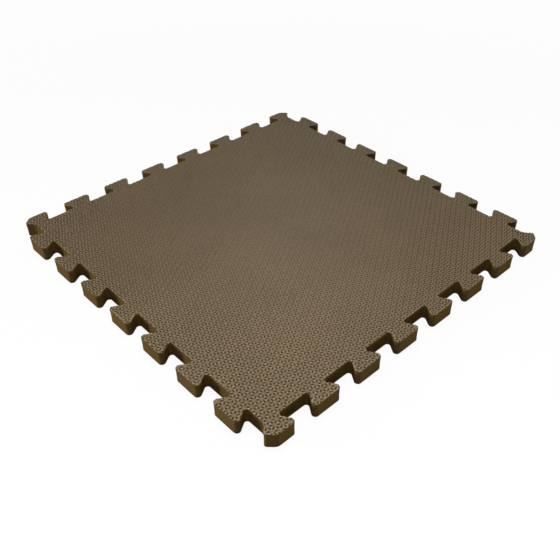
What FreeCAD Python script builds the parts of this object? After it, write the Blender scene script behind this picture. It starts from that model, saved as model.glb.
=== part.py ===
# A square interlocking floor mat, made and die cut as one piece of closed-cell foam.
#
# The mat lies flat and centred on the origin, with its underside at height 0 and its face up.
# Each side is a row of dovetail tabs and notches. A tab is half a pitch wide halfway along its
# flank and widens towards its front. The sides across X end in a corner tab, and the sides
# across Y end in a notch, so a neighbour turned by a quarter locks into any side. Each corner
# comes to a point between two bevels, where four laid mats meet.

import FreeCAD
import Part
import Sketcher

import math
import os

NODE = "foam_mat"

# The driving sizes in millimetres, with an angle in degrees and a plain count.
SIZES = [
    ("laid_size", 600, "side of the square of floor that one laid mat covers"),
    ("thickness", 24, "thickness of the foam"),
    ("tab_count", 7, "full tabs on a side across Y, one more than on a side across X"),
    ("tab_depth", 25, "from the floor of a notch to the front of a tab"),
    ("flank_lean", 33.5, "degrees that a tab's flank leans from square to its side"),
    ("front_radius", 5.5, "rounding of the two front corners of a tab"),
    ("root_radius", 4.2, "rounding of the two corners at the floor of a notch"),
    ("bevel_radius", 12, "rounding where a bevel leaves the tab's front or the notch's floor"),
    ("point_radius", 4, "rounding of the point where four mats meet"),
    ("rim_radius", 0.8, "rounding of the cut edge round the face"),
]

# The lengths that follow from them.
DERIVED = [
    ("pitch", "laid_size / (tab_count + 0.5)", "from one tab to the next"),
    ("point_line", "laid_size / 2", "centre to the meeting point, along X and Y"),
    ("floor_line", "point_line - tab_depth / 2", "centre to the notch floors"),
    ("front_line", "point_line + tab_depth / 2", "centre to the tab fronts"),
    ("margin_line", "floor_line - tab_depth", "centre to the back of the margin that carries a tab"),
    ("gain", "tab_depth / 2 * tan(flank_lean * 1deg)", "what half a flank's length adds to a tab"),
    ("half_root", "pitch / 4 - gain", "half of a tab's width at its root"),
    ("half_front", "pitch / 4 + gain", "half of a tab's width at its front"),
    ("flank_line", "point_line - pitch / 2", "centre to the middle of a corner tab's flank"),
    ("row_x", "pitch * (tab_count - 1) / 2", "centre to the last full tab of a side across Y"),
    ("row_y", "pitch * (tab_count - 2) / 2", "centre to the last full tab of a side across X"),
]


def make_sheet(doc):
    """The spreadsheet that every feature takes its sizes from."""
    sheet = doc.addObject("Spreadsheet::Sheet", "sizes")
    rows = [(alias, str(value), note) for alias, value, note in SIZES]
    rows += [(alias, "=" + formula, note) for alias, formula, note in DERIVED]
    for number, (alias, content, note) in enumerate(rows, start=1):
        sheet.set(f"A{number}", note)
        sheet.set(f"B{number}", content)
        sheet.setAlias(f"B{number}", alias)
    doc.recompute()


def origin_feature(body, role):
    """One of the body's own planes or axes."""
    return next(feature for feature in body.Origin.OriginFeatures if feature.Role == role)


def value_of(sketch, formula):
    return float(sketch.evalExpression(formula))


def bind_distance(sketch, kind, point, formula):
    """Ties a point to a formula: kind is DistanceX or DistanceY, measured from the origin."""
    origin = (-1, 1)
    value = value_of(sketch, formula)
    if value < 0:
        bound = sketch.addConstraint(Sketcher.Constraint(kind, point, 1, *origin, -value))
        sketch.setExpression(f"Constraints[{bound}]", f"-({formula})")
    else:
        bound = sketch.addConstraint(Sketcher.Constraint(kind, *origin, point, 1, value))
        sketch.setExpression(f"Constraints[{bound}]", formula)


def add_arc(sketch, corner, before, after, radius):
    """Rounds a corner between the lines before and after it, bound to a radius formula."""
    size = value_of(sketch, radius)
    arriving = sketch.Geometry[before]
    leaving = sketch.Geometry[after]
    back = (arriving.StartPoint - corner).normalize()
    ahead = (leaving.EndPoint - corner).normalize()
    half_angle = back.getAngle(ahead) / 2
    centre = corner + (back + ahead).normalize() * (size / math.sin(half_angle))
    turns_left = ahead.cross(back).z > 0
    start, end = (back, ahead) if turns_left else (ahead, back)
    reach = size / math.tan(half_angle)
    start_angle, end_angle = (
        math.atan2((corner + side * reach - centre).y, (corner + side * reach - centre).x)
        for side in (start, end)
    )
    circle = Part.Circle(centre, FreeCAD.Vector(0, 0, 1), size)
    arc = sketch.addGeometry(Part.ArcOfCircle(circle, start_angle, end_angle), False)
    first, last = (1, 2) if turns_left else (2, 1)
    sketch.addConstraint(Sketcher.Constraint("Tangent", before, 2, arc, first))
    sketch.addConstraint(Sketcher.Constraint("Tangent", arc, last, after, 1))
    bound = sketch.addConstraint(Sketcher.Constraint("Radius", arc, size))
    sketch.setExpression(f"Constraints[{bound}]", radius)


def outline(body, name, corners):
    """A closed outline on the floor plane. A corner is a pair of formulas, or three if rounded."""
    sketch = body.newObject("Sketcher::SketchObject", name)
    sketch.AttachmentSupport = (origin_feature(body, "XY_Plane"), [""])
    sketch.MapMode = "FlatFace"
    places = [
        FreeCAD.Vector(value_of(sketch, corner[0]), value_of(sketch, corner[1]), 0)
        for corner in corners
    ]
    for start, end in zip(places, places[1:] + places[:1]):
        sketch.addGeometry(Part.LineSegment(start, end), False)
    for line, (corner, place) in enumerate(zip(corners, places)):
        before = (line - 1) % len(corners)
        point = sketch.addGeometry(Part.Point(place), True)
        bind_distance(sketch, "DistanceX", point, corner[0])
        bind_distance(sketch, "DistanceY", point, corner[1])
        if len(corner) == 3:
            sketch.addConstraint(Sketcher.Constraint("PointOnObject", point, 1, before))
            sketch.addConstraint(Sketcher.Constraint("PointOnObject", point, 1, line))
            add_arc(sketch, place, before, line, corner[2])
        else:
            sketch.addConstraint(Sketcher.Constraint("Coincident", before, 2, point, 1))
            sketch.addConstraint(Sketcher.Constraint("Coincident", line, 1, point, 1))
    return sketch


def pad_through(body, sketch, name):
    """Raises an outline to the full thickness of the foam."""
    pad = body.newObject("PartDesign::Pad", name)
    pad.Profile = sketch
    pad.setExpression("Length", "sizes.thickness")
    pad.Refine = True
    body.Tip = pad
    return pad


def row_step(body, name, axis, count, length):
    """The step of a pattern that repeats a tab along its side."""
    step = body.Document.addObject("PartDesign::LinearPattern", name)
    step.Direction = (origin_feature(body, axis), [""])
    step.setExpression("Occurrences", count)
    step.setExpression("Length", length)
    return step


def mirror_step(body, name, plane):
    """The step of a pattern that mirrors it over one of the body's planes."""
    step = body.Document.addObject("PartDesign::Mirrored", name)
    step.MirrorPlane = (origin_feature(body, plane), [""])
    return step


def repeat(body, pad, name, steps):
    """A pattern that takes one pad through several steps."""
    pattern = body.newObject("PartDesign::MultiTransform", name)
    pattern.Originals = [pad]
    pattern.Transformations = steps
    pattern.Refine = True
    body.Tip = pattern


def add_slab(body):
    """The square inside the notch floors."""
    corners = [
        ("-sizes.floor_line", "-sizes.floor_line"),
        ("sizes.floor_line", "-sizes.floor_line"),
        ("sizes.floor_line", "sizes.floor_line"),
        ("-sizes.floor_line", "sizes.floor_line"),
    ]
    pad_through(body, outline(body, "slab_outline", corners), "slab")


def tab_outline(middle):
    """One pitch of a side, as pairs of how far out and how far along: a tab and its half notches."""
    return [
        ("sizes.floor_line", f"{middle} - sizes.pitch / 2"),
        ("sizes.floor_line", f"{middle} - sizes.half_root", "sizes.root_radius"),
        ("sizes.front_line", f"{middle} - sizes.half_front", "sizes.front_radius"),
        ("sizes.front_line", f"{middle} + sizes.half_front", "sizes.front_radius"),
        ("sizes.floor_line", f"{middle} + sizes.half_root", "sizes.root_radius"),
        ("sizes.floor_line", f"{middle} + sizes.pitch / 2"),
        ("sizes.margin_line", f"{middle} + sizes.pitch / 2"),
        ("sizes.margin_line", f"{middle} - sizes.pitch / 2"),
    ]


def add_tabs_across_x(body):
    """The full tabs of the two sides that face along X."""
    corners = tab_outline("-sizes.row_y")
    tab = pad_through(body, outline(body, "tab_x_outline", corners), "tab_x")
    steps = [
        row_step(body, "row_along_y", "Y_Axis", "sizes.tab_count - 1", "2 * sizes.row_y"),
        mirror_step(body, "row_mirror_x", "YZ_Plane"),
    ]
    repeat(body, tab, "tabs_x", steps)


def add_tabs_across_y(body):
    """The full tabs of the two sides that face along Y."""
    corners = [(along, out, *radius) for out, along, *radius in reversed(tab_outline("-sizes.row_x"))]
    tab = pad_through(body, outline(body, "tab_y_outline", corners), "tab_y")
    steps = [
        row_step(body, "row_along_x", "X_Axis", "sizes.tab_count", "2 * sizes.row_x"),
        mirror_step(body, "row_mirror_y", "XZ_Plane"),
    ]
    repeat(body, tab, "tabs_y", steps)


def add_corner_tabs(body):
    """The tab that ends a side across X, bevelled to the point where four mats meet."""
    corners = [
        ("sizes.floor_line", "sizes.row_y + sizes.pitch / 2"),
        ("sizes.floor_line", "sizes.flank_line + sizes.gain", "sizes.root_radius"),
        ("sizes.front_line", "sizes.flank_line - sizes.gain", "sizes.front_radius"),
        ("sizes.front_line", "sizes.floor_line", "sizes.bevel_radius"),
        ("sizes.point_line", "sizes.point_line", "sizes.point_radius"),
        ("sizes.floor_line", "sizes.floor_line", "sizes.bevel_radius"),
        ("sizes.row_x + sizes.half_root", "sizes.floor_line"),
        ("sizes.row_x + sizes.half_root", "sizes.row_y + sizes.pitch / 2"),
    ]
    tab = pad_through(body, outline(body, "corner_outline", corners), "corner_tab")
    steps = [
        mirror_step(body, "corner_mirror_x", "YZ_Plane"),
        mirror_step(body, "corner_mirror_y", "XZ_Plane"),
    ]
    repeat(body, tab, "corner_tabs", steps)


def round_rim(body):
    """Softens the cut edge all round the face."""
    body.Document.recompute()
    base = body.Tip
    heights = [face.CenterOfMass.z for face in base.Shape.Faces]
    top = heights.index(max(heights)) + 1
    fillet = body.newObject("PartDesign::Fillet", "rim")
    fillet.Base = (base, [f"Face{top}"])
    fillet.setExpression("Radius", "sizes.rim_radius")
    body.Tip = fillet


def check(doc, body):
    """Stops the build where an object failed or the mat isn't one sound solid."""
    for item in doc.Objects:
        if "Invalid" in item.State or "Error" in item.State:
            raise RuntimeError(f"{item.Name} failed: {item.State}")
    if body.Shape.isNull() or not body.Shape.isValid():
        raise RuntimeError("the mat has no sound shape")
    if len(body.Shape.Solids) != 1:
        raise RuntimeError(f"the mat is {len(body.Shape.Solids)} solids, not one")


def main():
    doc = FreeCAD.newDocument("foam_mat")
    make_sheet(doc)
    body = doc.addObject("PartDesign::Body", NODE)
    body.Label = NODE
    add_slab(body)
    add_tabs_across_x(body)
    add_tabs_across_y(body)
    add_corner_tabs(body)
    round_rim(body)
    doc.recompute()
    check(doc, body)
    os.makedirs("parts", exist_ok=True)
    body.Shape.exportStep(f"parts/{NODE}.step")
    box = body.Shape.optimalBoundingBox(False, False)
    size = f"{box.XLength:.2f} x {box.YLength:.2f} x {box.ZLength:.2f} mm"
    print(f"{NODE}: {size}, {body.Shape.Volume / 1000:.1f} cm3, {len(body.Shape.Faces)} faces")


main()
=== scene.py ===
# A brown interlocking floor mat of closed-cell foam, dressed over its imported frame.
#
# The mat is one die-cut piece, shown by two meshes that meet along the rim of the face: the
# embossed face, and the cut walls with the underside. Lengths are metres.

import math

import bpy
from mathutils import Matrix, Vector
from mathutils.geometry import delaunay_2d_cdt
from mathutils.kdtree import KDTree


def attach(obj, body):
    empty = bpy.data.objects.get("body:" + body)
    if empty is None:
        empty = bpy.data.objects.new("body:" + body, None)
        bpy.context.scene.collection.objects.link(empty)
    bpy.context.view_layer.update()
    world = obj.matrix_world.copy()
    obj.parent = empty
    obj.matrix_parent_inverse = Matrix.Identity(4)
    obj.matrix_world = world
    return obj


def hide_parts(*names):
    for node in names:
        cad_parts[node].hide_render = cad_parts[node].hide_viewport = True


NODE = "foam_mat"

# The mat's own sizes. The count is of full tabs on a side across Y, one more than across X.
LAID_SIZE = 0.600
THICKNESS = 0.024
TAB_COUNT = 7
TAB_DEPTH = 0.025
FLANK_LEAN = math.radians(33.5)
FRONT_RADIUS = 0.0055
ROOT_RADIUS = 0.0042
BEVEL_RADIUS = 0.012
POINT_RADIUS = 0.004
RIM_RADIUS = 0.0008

# The lengths that follow: from one tab to the next, from the centre to the corners' points, the
# notch floors and the tab fronts, and what half a flank's length adds to a tab.
PITCH = LAID_SIZE / (TAB_COUNT + 0.5)
POINT_LINE = LAID_SIZE / 2
FLOOR_LINE = POINT_LINE - TAB_DEPTH / 2
FRONT_LINE = POINT_LINE + TAB_DEPTH / 2
GAIN = TAB_DEPTH / 2 * math.tan(FLANK_LEAN)

# How finely the outline, the rim and the walls are divided.
ARC_STEP = math.radians(9)
RUN_STEP = 0.00075
RIM_STEPS = 4
WALL_STEPS = 3

# The cut walls start this far below the top, are dished by this much and end in a fine bevel.
WALL_START = 0.0022
DISH = 0.00025
FOOT_BEVEL = 0.0003

# The embossed pattern: leaf-shaped pits along the edges of a lattice of triangles. Six of them
# meet in a flower round each lattice point, and a raised triangle is left between every three.
FIRST_FLOWER = Vector((-0.00505, -0.00509))
ROW_STEP = Vector((0.01023, 0.00026))
NEXT_ROW = Vector((0.00491, 0.00844))
PIT_LENGTH = 0.0078
PIT_WIDTH = 0.0031
PIT_DEPTH = 0.0013

# A pit is full width over this share of its length, and its lip lies this far below the top.
# The top is reached where a pit made larger by the last share would end.
PIT_SHOULDER = 0.40
LIP_DROP = 0.00018
CROWN_REACH = 0.85

# How far the pattern's points stay from the rim, and how near to each other two points are one.
PATTERN_CLEAR = 0.00025
MERGE_REACH = 1e-7

# The foam's colours: five of the face, and then the rim's and the two of the cut walls. The
# pits' colour is painted shade, and the crowns', the face edge's and the rim's are painted
# highlight. The even colour takes the place of the face's painted shade and highlight round one
# place.
PIT_SHADE_COLOUR = (0.070, 0.047, 0.024, 1)
TOP_COLOUR = (0.178, 0.131, 0.078, 1)
CROWN_HIGHLIGHT_COLOUR = (0.276, 0.209, 0.128, 1)
EDGE_HIGHLIGHT_COLOUR = (0.480, 0.375, 0.245, 1)
EVEN_COLOUR = (0.158, 0.118, 0.071, 1)
RIM_HIGHLIGHT_COLOUR = (0.340, 0.260, 0.165, 1)
PORE_COLOUR = (0.107, 0.0645, 0.0190, 1)
CUT_COLOUR = (0.132, 0.081, 0.0260, 1)

# The heights between which the pits' painted shade gives way to the top's colour, the top's
# colour to the crowns' painted highlight, and the walls' colour to the rim's painted highlight.
PIT_HEIGHTS = (THICKNESS - PIT_DEPTH * 0.6, THICKNESS - LIP_DROP)
CROWN_HEIGHTS = (THICKNESS - LIP_DROP * 1.2, THICKNESS)
RIM_HEIGHTS = (THICKNESS - 0.6 * RIM_RADIUS, THICKNESS - 0.5 * LIP_DROP)

# How wide the painted highlight along the face's edge is, and how far the face's mottle strays
# from plain.
EDGE_HIGHLIGHT_WIDTH = 0.0016
MOTTLE = 0.11

# Soft noise mostly stays between the first two. A pore is plain up to the third, in cell sizes
# from its middle, and has given way to the wall round it at the fourth.
NOISE_LOW = 0.3
NOISE_HIGH = 0.7
PORE_PLAIN = 0.1
PORE_END = 0.7

# The face's colour is evened out round a place, which fades its painted shade and highlight:
# by the share below up to the first reach from it, and less and less from there to the second.
EVEN_CENTRE = (-0.12, 0.12, THICKNESS)
EVEN_SHARE = 0.85
EVEN_FULL = 0.20
EVEN_END = 0.44

# The floor reaches FLOOR_REACH each way. It lights the mat as a grey floor would, and the camera
# sees it white. PLAIN_SHARE of that white is plain up to PLAIN_START from the mat's centre, so
# that a shadow shows there, and all of it is from PLAIN_END on. SKY_LEVEL is how strongly the
# surround lights the mat.
FLOOR_REACH = 12.0
FLOOR_GREY = (0.28, 0.28, 0.28, 1)
WHITE = (1, 1, 1, 1)
PLAIN_SHARE = 0.93
PLAIN_START = 0.5
PLAIN_END = 2.5
SKY_LEVEL = 0.22

# The lamps: name, place, what it faces, side, watts, and spread of the beam in degrees.
LAMPS = [
    ("above", (0.00, 0.00, 1.60), (0.75, -0.78, 0.0), 0.9, 9.6, 120),
    ("left", (-4.60, -5.60, 1.20), (0.0, 0.0, 0.0), 2.0, 440.0, 180),
    ("right", (2.60, 3.90, 0.70), (0.0, 0.0, 0.0), 1.0, 84.0, 180),
    ("fill", (3.20, -3.20, 0.35), (0.0, 0.0, 0.0), 0.4, 18.0, 180),
    ("back", (-3.00, 3.00, 1.10), (0.0, 0.0, 0.0), 1.0, 44.0, 180),
    ("rake", (-1.07, 1.05, 0.45), (1.90, -1.85, 0.15), 0.2, 1.6, 24),
]

# The camera of the photograph, with its angles in degrees. The last three lengths say where
# the middle of the mat's underside lies from it: to the right, down and away.
IMAGE_SIZE = 560
FOCAL_PIXELS = 691.53
CENTRE_COLUMN = 304.0
SENSOR = 36.0
AZIMUTH = math.radians(45.519)
ELEVATION = math.radians(39.850)
ROLL = math.radians(-0.6228)
AIM_RIGHT = -0.04242
AIM_DOWN = -0.06800
DISTANCE = 1.16895


def corner_list():
    """The outline's corners with their radii, anticlockwise from the point at +X and -Y."""
    side_x = [(POINT_LINE, -POINT_LINE, POINT_RADIUS), (FRONT_LINE, -FLOOR_LINE, BEVEL_RADIUS)]
    side_y = [(POINT_LINE, POINT_LINE, POINT_RADIUS), (FLOOR_LINE, FLOOR_LINE, BEVEL_RADIUS)]
    for flank in range(2 * TAB_COUNT):
        along = (flank + 0.5) * PITCH / 2 - (TAB_COUNT / 2) * PITCH
        opens = 1 if flank % 2 == 0 else -1
        front = (FRONT_LINE, along + opens * GAIN, FRONT_RADIUS)
        root = (FLOOR_LINE, along - opens * GAIN, ROOT_RADIUS)
        side_x += [front, root] if opens == 1 else [root, front]
        front = (-along + opens * GAIN, FRONT_LINE, FRONT_RADIUS)
        root = (-along - opens * GAIN, FLOOR_LINE, ROOT_RADIUS)
        side_y += [root, front] if opens == 1 else [front, root]
    side_x.append((FRONT_LINE, FLOOR_LINE, BEVEL_RADIUS))
    side_y.append((-FLOOR_LINE, FLOOR_LINE, BEVEL_RADIUS))
    half = side_x + side_y
    return half + [(-x, -y, radius) for x, y, radius in half]


def rounded_outline():
    """Points along the rounded outline, each with the direction that leads out of the mat."""
    corners = corner_list()
    points = []
    for index, (x, y, radius) in enumerate(corners):
        corner = Vector((x, y))
        back = (Vector(corners[index - 1][:2]) - corner).normalized()
        ahead = (Vector(corners[(index + 1) % len(corners)][:2]) - corner).normalized()
        half_angle = back.angle(ahead) / 2
        centre = corner + (back + ahead).normalized() * (radius / math.sin(half_angle))
        turn = math.pi - 2 * half_angle
        convex = ahead.x * back.y - ahead.y * back.x > 0
        first_spoke = corner + back * (radius / math.tan(half_angle)) - centre
        first = math.atan2(first_spoke.y, first_spoke.x)
        steps = max(3, math.ceil(turn / ARC_STEP))
        for step in range(steps + 1):
            angle = first + (turn if convex else -turn) * step / steps
            spoke = Vector((math.cos(angle), math.sin(angle)))
            points.append((centre + spoke * radius, spoke if convex else -spoke))
    return divided(points)


def divided(outline):
    """The outline with its straight runs divided finely enough to follow the pattern."""
    points = []
    for (start, out), (end, next_out) in zip(outline, outline[1:] + outline[:1]):
        steps = math.ceil((end - start).length / RUN_STEP)
        for step in range(steps):
            share = step / steps
            points.append((start.lerp(end, share), out.lerp(next_out, share).normalized()))
    return points


def moved_in(outline, distance):
    """The outline moved into the mat by a distance."""
    return [point - out * distance for point, out in outline]


def new_piece(name, points, faces, material, smooth):
    """A piece of the mat, made from points and faces, that rides on the mat's body."""
    mesh = bpy.data.meshes.new(name)
    mesh.from_pydata(points, [], faces)
    mesh.polygons.foreach_set("use_smooth", [smooth] * len(mesh.polygons))
    mesh.materials.append(material)
    mesh.validate()
    piece = bpy.data.objects.new(name, mesh)
    bpy.context.scene.collection.objects.link(piece)
    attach(piece, "root")
    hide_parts(NODE)
    return piece


def depth_gauge(outline):
    """A function that gives how far inside the outline a place is, negative outside it."""
    tree = KDTree(len(outline))
    for number, (place, _) in enumerate(outline):
        tree.insert(place.to_3d(), number)
    tree.balance()

    def inside_by(place):
        nearest, out = outline[tree.find(place.to_3d())[1]]
        return (nearest - place).dot(out)

    return inside_by


def filled(places, edges, inside_by):
    """Triangles between places that keep to the edges given, without those outside the mat.

    Gives the triangles' corners, the triangles, and for each corner the place that it stands for.
    """
    filling = delaunay_2d_cdt(places, edges, [], 0, MERGE_REACH, True)
    corners, _, triangles, sources, _, _ = filling
    kept = []
    for triangle in triangles:
        middle = sum((corners[corner] for corner in triangle), Vector((0, 0))) / 3
        if inside_by(middle) > 0:
            kept.append(triangle)
    return corners, kept, [source[0] for source in sources]


def lattice_places(reach):
    """The lattice points whose cells may touch the mat."""
    rows = math.ceil(reach / NEXT_ROW.y) + 1
    columns = math.ceil(reach / ROW_STEP.x) + 2
    for row in range(-rows, rows + 1):
        middle = -row * NEXT_ROW.x / ROW_STEP.x
        for column in range(math.floor(middle) - columns, math.ceil(middle) + columns + 1):
            yield FIRST_FLOWER + ROW_STEP * column + NEXT_ROW * row


def pit_directions():
    """The three ways that pits lie, one along each edge of the lattice's triangles."""
    return ROW_STEP, NEXT_ROW, NEXT_ROW - ROW_STEP


def pattern_drop(place):
    """How far the pattern lies below the top at a place. A pit is a six-sided hollow."""
    area = ROW_STEP.x * NEXT_ROW.y - ROW_STEP.y * NEXT_ROW.x
    nearest = 1.0 + CROWN_REACH
    for direction in pit_directions():
        along = direction.normalized()
        offset = place - FIRST_FLOWER - direction / 2
        column = math.floor((offset.x * NEXT_ROW.y - offset.y * NEXT_ROW.x) / area)
        row = math.floor((offset.y * ROW_STEP.x - offset.x * ROW_STEP.y) / area)
        for right in (0, 1):
            for up in (0, 1):
                middle = ROW_STEP * (column + right) + NEXT_ROW * (row + up)
                away = offset - middle
                long_share = abs(away.dot(along)) / (PIT_LENGTH / 2)
                wide_share = abs(away.x * along.y - away.y * along.x) / (PIT_WIDTH / 2)
                tapered = long_share + wide_share * (1 - PIT_SHOULDER)
                nearest = min(nearest, max(wide_share, tapered))
    if nearest > 1:
        return LIP_DROP * (1 - (nearest - 1) / CROWN_REACH)
    return LIP_DROP + (PIT_DEPTH - LIP_DROP) * (1 - nearest)


def make_face(outline, material):
    """The embossed face, up to the inner edge of the rim."""
    inside_by = depth_gauge(outline)
    places = moved_in(outline, RIM_RADIUS)
    drops = [pattern_drop(place) for place in places]
    edges = [(index, (index + 1) % len(places)) for index in range(len(places))]

    def add(place, drop):
        """Adds a point of the pattern unless it is too near the border, and gives its number."""
        if inside_by(place) < RIM_RADIUS + PATTERN_CLEAR:
            return None
        places.append(place)
        drops.append(drop)
        return len(places) - 1

    def join(first, second):
        """Keeps an edge of the pattern if both ends are there and it stays within the border."""
        if first is None or second is None:
            return
        if inside_by(places[first].lerp(places[second], 0.5)) > RIM_RADIUS:
            edges.append((first, second))

    for flower in lattice_places(FRONT_LINE):
        add(flower + (ROW_STEP + NEXT_ROW) / 3, 0.0)
        add(flower + (2 * NEXT_ROW - ROW_STEP) / 3, 0.0)
        for direction in pit_directions():
            long_way = direction.normalized() * (PIT_LENGTH / 2)
            side_way = Vector((-direction.y, direction.x)).normalized() * (PIT_WIDTH / 2)
            shoulder = long_way * PIT_SHOULDER
            middle = flower + direction / 2
            loop = [
                add(middle + long_way, LIP_DROP),
                add(middle + shoulder + side_way, LIP_DROP),
                add(middle - shoulder + side_way, LIP_DROP),
                add(middle - long_way, LIP_DROP),
                add(middle - shoulder - side_way, LIP_DROP),
                add(middle + shoulder - side_way, LIP_DROP),
            ]
            bottom = add(middle, PIT_DEPTH)
            for start, end in zip(loop, loop[1:] + loop[:1]):
                join(start, end)
                join(start, bottom)
    corners, triangles, sources = filled(places, edges, inside_by)
    points = []
    for place, source in zip(corners, sources):
        points.append((place.x, place.y, THICKNESS - drops[source]))
    face = new_piece("mat_face", points, triangles, material, False)
    # Each point's share of the painted highlight along the face's edge.
    edge_highlight_mask = face.data.attributes.new("edge_highlight_mask", "FLOAT", "POINT")
    for number, place in enumerate(corners):
        past_rim = inside_by(place) - RIM_RADIUS
        edge_highlight_mask.data[number].value = max(0.0, 1 - past_rim / EDGE_HIGHLIGHT_WIDTH)


def make_body(outline, material):
    """The rounded rim, cut through the pattern, with the cut walls and the underside."""
    points = []
    for step in range(RIM_STEPS + 1):
        angle = math.pi / 2 * (1 - step / RIM_STEPS)
        sunk = RIM_RADIUS * (1 - math.sin(angle))
        for place in moved_in(outline, RIM_RADIUS * (1 - math.cos(angle))):
            points.append((place.x, place.y, THICKNESS - sunk - pattern_drop(place)))
    wall_top = THICKNESS - WALL_START
    for step in range(WALL_STEPS + 1):
        share = step / WALL_STEPS
        height = wall_top + (FOOT_BEVEL - wall_top) * share
        for place in moved_in(outline, DISH * math.sin(math.pi * share)):
            points.append((place.x, place.y, height))
    foot = moved_in(outline, FOOT_BEVEL)
    points += [(place.x, place.y, 0.0) for place in foot]
    count = len(outline)
    faces = []
    for upper in range(0, len(points) - count, count):
        lower = upper + count
        for index in range(count):
            after = (index + 1) % count
            faces.append((upper + index, lower + index, lower + after, upper + after))
    ring = [(index, (index + 1) % count) for index in range(count)]
    _, triangles, sources = filled(foot, ring, depth_gauge(outline))
    base = len(points) - count
    for triangle in triangles:
        faces.append([base + sources[corner] for corner in reversed(triangle)])
    new_piece("mat_body", points, faces, material, True)


class Nodes:
    """A material's node tree, with short ways to add to it."""

    def __init__(self, name):
        self.material = bpy.data.materials.new(name)
        self.material.use_nodes = True
        self.tree = self.material.node_tree
        self.shader = self.tree.nodes["Principled BSDF"]

    def add(self, kind, **settings):
        """A new node. A setting with a capital is an input, and any other is a property."""
        node = self.tree.nodes.new("ShaderNode" + kind)
        for key, value in settings.items():
            if key[0].isupper():
                self.put(node.inputs[key.replace("_", " ")], value)
            else:
                setattr(node, key, value)
        return node

    def put(self, socket, value):
        """Links an output into a socket, or sets a plain value there."""
        if isinstance(value, bpy.types.NodeSocket):
            self.tree.links.new(value, socket)
        else:
            socket.default_value = value

    def math(self, operation, first, second):
        """The result of an operation on two values."""
        node = self.add("Math", operation=operation)
        self.put(node.inputs[0], first)
        self.put(node.inputs[1], second)
        return node.outputs[0]

    def place(self):
        """The place on the mat."""
        return self.add("TexCoord").outputs["Object"]

    def height(self):
        """The height above the mat's underside."""
        return self.add("SeparateXYZ", Vector=self.place()).outputs["Z"]

    def drawn_out(self, share):
        """The place with its height cut to a share, which draws a pattern out upright."""
        return self.add("Mapping", Vector=self.place(), Scale=(1, 1, share)).outputs[0]

    def noise(self, size, detail, where=None):
        """Soft noise between 0 and 1 whose lumps are about this size."""
        vector = where or self.place()
        return self.add("TexNoise", Vector=vector, Scale=1 / size, Detail=detail).outputs["Fac"]

    def varied(self, amount, size, detail, where=None):
        """A factor that strays from 1 by up to an amount, in lumps of about this size."""
        noise = self.noise(size, detail, where)
        return self.between(noise, NOISE_LOW, NOISE_HIGH, 1 - amount, 1 + amount)

    def between(self, value, low, high, to_low=0.0, to_high=1.0):
        """A value mapped from one range to another and held there."""
        node = self.add("MapRange", Value=value, From_Min=low, From_Max=high)
        node.inputs["To Min"].default_value = to_low
        node.inputs["To Max"].default_value = to_high
        return node.outputs[0]

    def mixed(self, share, first, second):
        """A colour between two. Only their numbers tell the Mix node's colour sockets apart."""
        node = self.add("Mix", data_type="RGBA")
        self.put(node.inputs[0], share)
        self.put(node.inputs[6], first)
        self.put(node.inputs[7], second)
        return node.outputs[2]

    def brightened(self, colour, factor):
        """A colour multiplied by a plain factor."""
        node = self.add("VectorMath", operation="SCALE")
        self.put(node.inputs[0], colour)
        self.put(node.inputs["Scale"], factor)
        return node.outputs[0]

    def foam(self, colour, rough, skin, strength, depth, gloss):
        """The material with its shader set. Skin is the height that bumps it, up to a depth."""
        self.put(self.shader.inputs["Base Color"], colour)
        self.put(self.shader.inputs["Roughness"], rough)
        bump = self.add("Bump", Strength=strength, Distance=depth, Height=skin)
        self.put(self.shader.inputs["Normal"], bump.outputs[0])
        self.shader.inputs["Specular IOR Level"].default_value = gloss
        return self.material


def cells(nodes, size):
    """The rounded bubbles of cut closed-cell foam, 0 in a pore and 1 on the walls between."""
    node = nodes.add("TexVoronoi", feature="F1", Vector=nodes.place(), Scale=1 / size)
    return nodes.between(node.outputs["Distance"], PORE_PLAIN, PORE_END)


def evened_share(nodes):
    """How far the face's colour is evened out, fading its painted shade and highlight: most about
    one place, and not at all far from it.
    """
    away = nodes.add("VectorMath", operation="DISTANCE", Vector=nodes.place())
    away.inputs[1].default_value = EVEN_CENTRE
    return nodes.between(away.outputs["Value"], EVEN_FULL, EVEN_END, EVEN_SHARE, 0.0)


def face_material():
    """Embossed foam: less rough and with a painted highlight on the raised triangles, painted
    shade in the pits, and a fine grain.
    """
    nodes = Nodes("foam_face")
    height = nodes.height()
    raised = nodes.between(height, *PIT_HEIGHTS)
    crown = nodes.between(height, *CROWN_HEIGHTS)
    edge_highlight_mask = nodes.add("Attribute", attribute_name="edge_highlight_mask").outputs["Fac"]
    # The crowns of the raised triangles get a painted highlight.
    top = nodes.mixed(crown, TOP_COLOUR, CROWN_HIGHLIGHT_COLOUR)
    # Near the cut edge the crowns get a paler painted highlight.
    top = nodes.mixed(nodes.math("MULTIPLY", edge_highlight_mask, crown), top, EDGE_HIGHLIGHT_COLOUR)
    # The pits take a dark colour that is painted shade.
    colour = nodes.mixed(raised, PIT_SHADE_COLOUR, top)
    # Round one place the pits' painted shade and the crowns' painted highlight fade to one
    # colour.
    colour = nodes.mixed(evened_share(nodes), colour, EVEN_COLOUR)
    clouds = nodes.varied(amount=0.05, size=0.14, detail=2.0)
    mottle = nodes.varied(amount=MOTTLE, size=0.005, detail=4.0)
    grain = nodes.varied(amount=0.10, size=0.0006, detail=3.0)
    tone = nodes.math("MULTIPLY", nodes.math("MULTIPLY", clouds, mottle), grain)
    colour = nodes.brightened(colour, tone)
    burnish = nodes.between(raised, 0, 1, to_low=0.86, to_high=0.60)
    uneven = nodes.between(mottle, 1 - MOTTLE, 1 + MOTTLE, to_low=-0.04, to_high=0.04)
    rough = nodes.math("ADD", burnish, uneven)
    bubbles = nodes.math("MULTIPLY", cells(nodes, size=0.0007), 0.5)
    skin = nodes.math("ADD", nodes.noise(size=0.0009, detail=5.0), bubbles)
    return nodes.foam(colour, rough, skin, strength=0.55, depth=0.00012, gloss=0.05)


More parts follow.
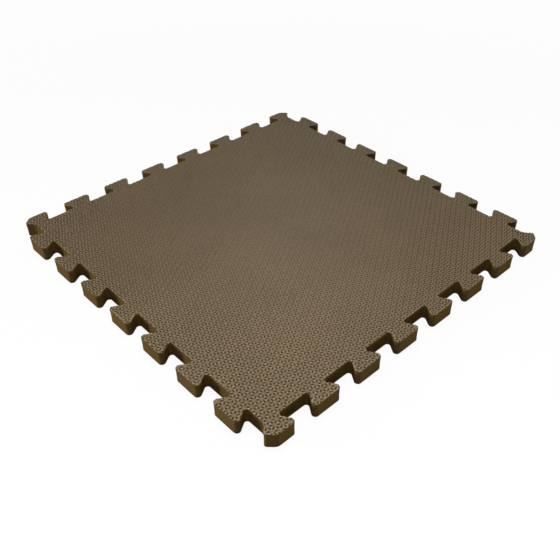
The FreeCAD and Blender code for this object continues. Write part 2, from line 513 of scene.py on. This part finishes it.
def body_material():
    """Cut foam: smooth and matt, with fine pores and the faint upright drag of the die."""
    nodes = Nodes("foam_body")
    # The rim along the top of the cut walls gets a painted highlight.
    rim = nodes.between(nodes.height(), *RIM_HEIGHTS)
    pores = cells(nodes, size=0.0006)
    wall = nodes.mixed(pores, PORE_COLOUR, CUT_COLOUR)
    colour = nodes.mixed(rim, wall, RIM_HIGHLIGHT_COLOUR)
    clouds = nodes.varied(amount=0.06, size=0.09, detail=2.0)
    drag = nodes.varied(amount=0.05, size=0.0012, detail=3.0, where=nodes.drawn_out(0.06))
    colour = nodes.brightened(colour, nodes.math("MULTIPLY", clouds, drag))
    rough = nodes.between(pores, 0, 1, to_low=0.92, to_high=0.78)
    skin = nodes.math("ADD", pores, nodes.math("MULTIPLY", drag, 2.0))
    return nodes.foam(colour, rough, skin, strength=0.35, depth=0.00008, gloss=0.03)


def make_floor():
    """A plain white floor that keeps the mat's soft shadow."""
    mesh = bpy.data.meshes.new("floor")
    ways = ((-1, -1), (1, -1), (1, 1), (-1, 1))
    corners = [(x * FLOOR_REACH, y * FLOOR_REACH, 0) for x, y in ways]
    mesh.from_pydata(corners, [], [(0, 1, 2, 3)])
    floor = bpy.data.objects.new("floor", mesh)
    bpy.context.scene.collection.objects.link(floor)
    nodes = Nodes("floor_white")
    seen = nodes.add("LightPath").outputs["Is Camera Ray"]
    nodes.put(nodes.shader.inputs["Base Color"], nodes.mixed(seen, FLOOR_GREY, WHITE))
    nodes.shader.inputs["Roughness"].default_value = 0.9
    nodes.shader.inputs["Specular IOR Level"].default_value = 0.0
    glow = nodes.add("Emission", Strength=1.0)
    away = nodes.add("VectorMath", operation="LENGTH", Vector=nodes.place()).outputs["Value"]
    plain = nodes.between(away, PLAIN_START, PLAIN_END, PLAIN_SHARE, 1.0)
    blend = nodes.add("MixShader")
    nodes.put(blend.inputs[0], nodes.math("MULTIPLY", seen, plain))
    nodes.put(blend.inputs[1], nodes.shader.outputs[0])
    nodes.put(blend.inputs[2], glow.outputs[0])
    nodes.put(nodes.tree.nodes["Material Output"].inputs["Surface"], blend.outputs[0])
    mesh.materials.append(nodes.material)


def make_world():
    """An even pale surround, which the camera sees as white."""
    world = bpy.data.worlds.new("surround")
    world.use_nodes = True
    bpy.context.scene.world = world
    tree = world.node_tree
    path = tree.nodes.new("ShaderNodeLightPath")
    level = tree.nodes.new("ShaderNodeMapRange")
    level.inputs["To Min"].default_value = SKY_LEVEL
    level.inputs["To Max"].default_value = 1.0
    background = tree.nodes["Background"]
    background.inputs["Color"].default_value = WHITE
    tree.links.new(path.outputs["Is Camera Ray"], level.inputs["Value"])
    tree.links.new(level.outputs[0], background.inputs["Strength"])


def make_lamp(name, place, target, side, watts, spread):
    """A square soft lamp that faces a target, with its beam held to a spread in degrees."""
    data = bpy.data.lights.new(name, "AREA")
    data.shape = "SQUARE"
    data.size = side
    data.energy = watts
    data.spread = math.radians(spread)
    lamp = bpy.data.objects.new(name, data)
    lamp.location = place
    lamp.rotation_mode = "QUATERNION"
    lamp.rotation_quaternion = (Vector(target) - Vector(place)).to_track_quat("-Z", "Y")
    lamp.visible_camera = False
    bpy.context.scene.collection.objects.link(lamp)


def make_camera():
    """The camera that the photograph was taken with, as fitted to the mat's tabs."""
    back = Vector((
        math.sin(AZIMUTH) * math.cos(ELEVATION),
        -math.cos(AZIMUTH) * math.cos(ELEVATION),
        math.sin(ELEVATION),
    ))
    level = (-back).cross(Vector((0, 0, 1))).normalized()
    sunk = (-back).cross(level)
    right = level * math.cos(ROLL) + sunk * math.sin(ROLL)
    down = sunk * math.cos(ROLL) - level * math.sin(ROLL)
    data = bpy.data.cameras.new("camera")
    data.sensor_width = SENSOR
    data.lens = SENSOR * FOCAL_PIXELS / IMAGE_SIZE
    data.shift_x = 0.5 - CENTRE_COLUMN / IMAGE_SIZE
    camera = bpy.data.objects.new("camera", data)
    camera.location = back * DISTANCE - right * AIM_RIGHT - down * AIM_DOWN
    camera.rotation_mode = "QUATERNION"
    turn = back.to_track_quat("Z", "Y").to_matrix()
    turn.col[0] = right
    turn.col[1] = -down
    turn.col[2] = back
    camera.rotation_quaternion = turn.to_quaternion()
    bpy.context.scene.collection.objects.link(camera)
    bpy.context.scene.camera = camera


def main():
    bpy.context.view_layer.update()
    outline = rounded_outline()
    make_face(outline, face_material())
    make_body(outline, body_material())
    make_floor()
    make_world()
    for lamp in LAMPS:
        make_lamp(*lamp)
    make_camera()
    bpy.context.scene.view_settings.view_transform = "Standard"


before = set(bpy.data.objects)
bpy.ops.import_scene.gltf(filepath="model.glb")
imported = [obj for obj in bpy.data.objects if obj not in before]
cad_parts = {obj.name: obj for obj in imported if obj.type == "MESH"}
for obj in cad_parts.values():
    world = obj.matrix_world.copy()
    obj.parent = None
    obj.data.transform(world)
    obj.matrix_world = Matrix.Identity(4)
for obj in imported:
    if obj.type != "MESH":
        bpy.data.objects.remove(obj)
main()
